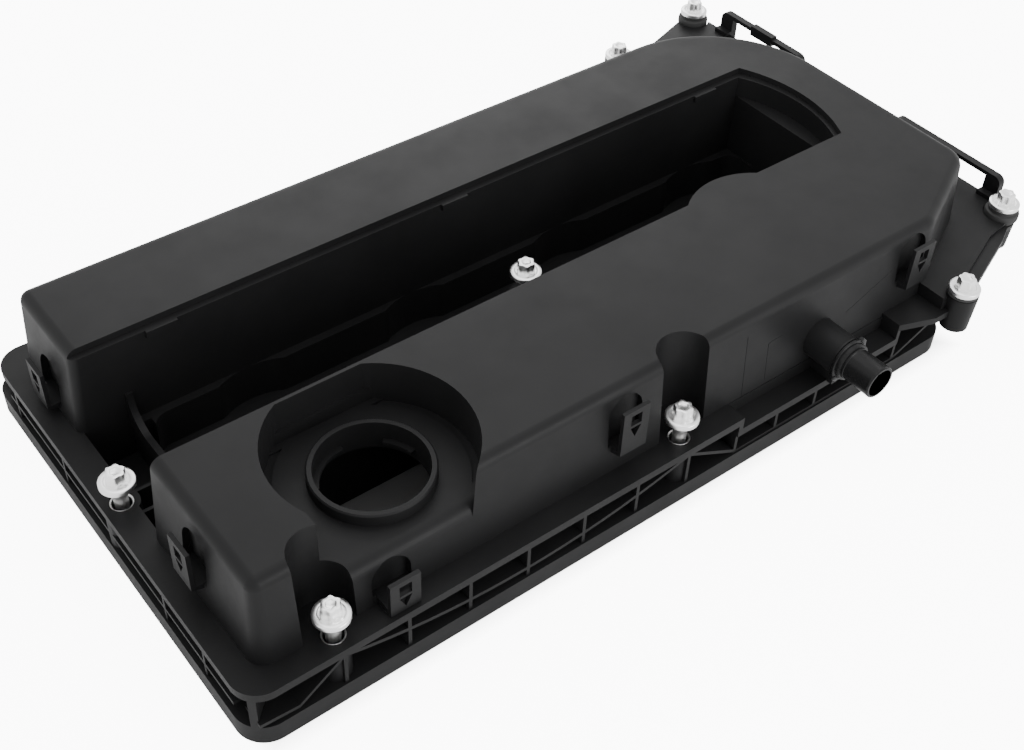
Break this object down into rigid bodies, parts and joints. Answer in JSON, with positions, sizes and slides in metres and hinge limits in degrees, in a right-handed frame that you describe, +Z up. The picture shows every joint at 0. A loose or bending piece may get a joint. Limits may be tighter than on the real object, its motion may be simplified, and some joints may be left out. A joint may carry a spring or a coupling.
{
  "type": "engine valve cover",
  "caption": "Moulded plastic engine valve cover with rim and plug well seals, captive bolts, filler neck, breather spigot and a long open slot for ignition coils.",
  "frame": {"origin": "middle of the foot of the whole part, on the plane that the seals and the lower bolt tips touch", "axes": "+X from the open end of the coil slot to the timing end, +Y from the filler side to the plain side, +Z up"},
  "size_m": [0.447, 0.2794, 0.0737],
  "materials": {
    "moulding": "satin, lightly grained",
    "seal_rubber": "matte",
    "bolt_steel": "bright zinc",
    "sleeve_steel": "bright",
    "grommet_rubber": "matte",
    "baffle_plastic": "matte"
  },
  "bodies": {
    "cover": {"cover_housing": "moulding", "rim_seal": "seal_rubber", "well_seal": "seal_rubber", "front_baffle": "baffle_plastic", "back_baffle": "baffle_plastic", "breather_spigot": "moulding", "near_end_sleeve": "sleeve_steel", "front_near_sleeve": "sleeve_steel", "front_middle_sleeve": "sleeve_steel", "back_near_sleeve": "sleeve_steel", "back_middle_sleeve": "sleeve_steel", "slot_sleeve": "sleeve_steel", "front_shoulder_sleeve": "sleeve_steel", "back_shoulder_sleeve": "sleeve_steel", "front_timing_sleeve": "sleeve_steel", "back_timing_sleeve": "sleeve_steel", "front_shoulder_grommet": "grommet_rubber", "back_shoulder_grommet": "grommet_rubber", "front_timing_grommet": "grommet_rubber", "back_timing_grommet": "grommet_rubber"},
    "near_end_bolt": {"near_end_bolt": "bolt_steel"},
    "front_near_bolt": {"front_near_bolt": "bolt_steel"},
    "front_middle_bolt": {"front_middle_bolt": "bolt_steel"},
    "back_near_bolt": {"back_near_bolt": "bolt_steel"},
    "back_middle_bolt": {"back_middle_bolt": "bolt_steel"},
    "slot_bolt": {"slot_bolt": "bolt_steel"},
    "front_shoulder_bolt": {"front_shoulder_bolt": "bolt_steel"},
    "back_shoulder_bolt": {"back_shoulder_bolt": "bolt_steel"},
    "front_timing_bolt": {"front_timing_bolt": "bolt_steel"},
    "back_timing_bolt": {"back_timing_bolt": "bolt_steel"}
  },
  "joints": [
    {"name": "near_end_bolt_slide", "type": "slide", "parent": "cover", "child": "near_end_bolt", "axis": [0, 0, 1], "range_m": [-0.01, 0.004]},
    {"name": "front_near_bolt_slide", "type": "slide", "parent": "cover", "child": "front_near_bolt", "axis": [0, 0, 1], "range_m": [-0.01, 0.004]},
    {"name": "front_middle_bolt_slide", "type": "slide", "parent": "cover", "child": "front_middle_bolt", "axis": [0, 0, 1], "range_m": [-0.01, 0.004]},
    {"name": "back_near_bolt_slide", "type": "slide", "parent": "cover", "child": "back_near_bolt", "axis": [0, 0, 1], "range_m": [-0.01, 0.004]},
    {"name": "back_middle_bolt_slide", "type": "slide", "parent": "cover", "child": "back_middle_bolt", "axis": [0, 0, 1], "range_m": [-0.01, 0.004]},
    {"name": "slot_bolt_slide", "type": "slide", "parent": "cover", "child": "slot_bolt", "axis": [0, 0, 1], "range_m": [-0.01, 0.004]},
    {"name": "front_shoulder_bolt_slide", "type": "slide", "parent": "cover", "child": "front_shoulder_bolt", "axis": [0, 0, 1], "range_m": [0, 0.012]},
    {"name": "back_shoulder_bolt_slide", "type": "slide", "parent": "cover", "child": "back_shoulder_bolt", "axis": [0, 0, 1], "range_m": [0, 0.012]},
    {"name": "front_timing_bolt_slide", "type": "slide", "parent": "cover", "child": "front_timing_bolt", "axis": [0, 0, 1], "range_m": [0, 0.012]},
    {"name": "back_timing_bolt_slide", "type": "slide", "parent": "cover", "child": "back_timing_bolt", "axis": [0, 0, 1], "range_m": [0, 0.012]}
  ]
}
